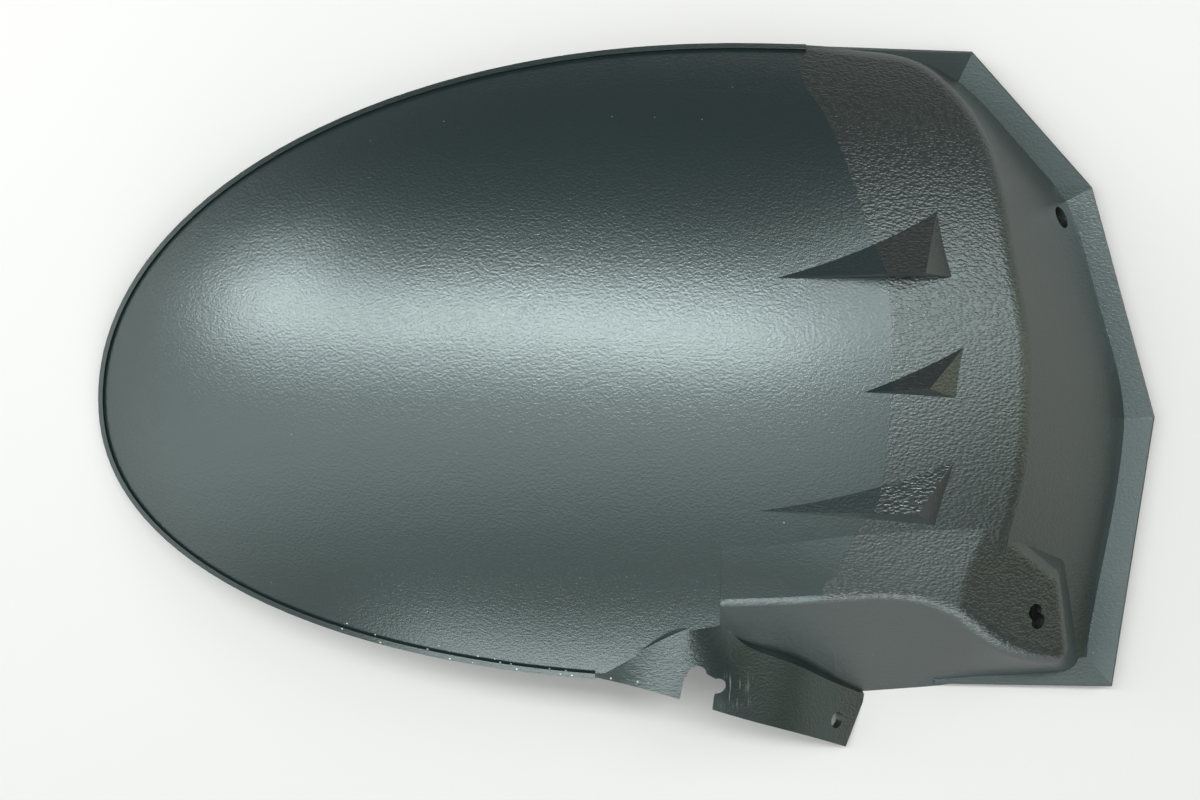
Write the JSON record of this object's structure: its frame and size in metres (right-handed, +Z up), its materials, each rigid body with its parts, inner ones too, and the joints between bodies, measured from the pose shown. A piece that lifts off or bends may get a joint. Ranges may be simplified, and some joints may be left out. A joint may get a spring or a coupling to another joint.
{
  "type": "rear hugger mudguard",
  "caption": "Domed guard that runs close over a rear tyre, with a beaded rim, wedge fins, a flared front flange and a torn side wing.",
  "frame": {"origin": "on the floor, under the middle of the part's box", "axes": "+X towards the front flange, +Y towards the long plain rim, +Z up through the outer side"},
  "size_m": [0.446, 0.2938, 0.0899],
  "materials": {
    "grained_plastic": "satin black, leather grain at the front end and light orange peel on the tongue"
  },
  "bodies": {
    "root": {"hugger": "grained_plastic"}
  },
  "joints": []
}
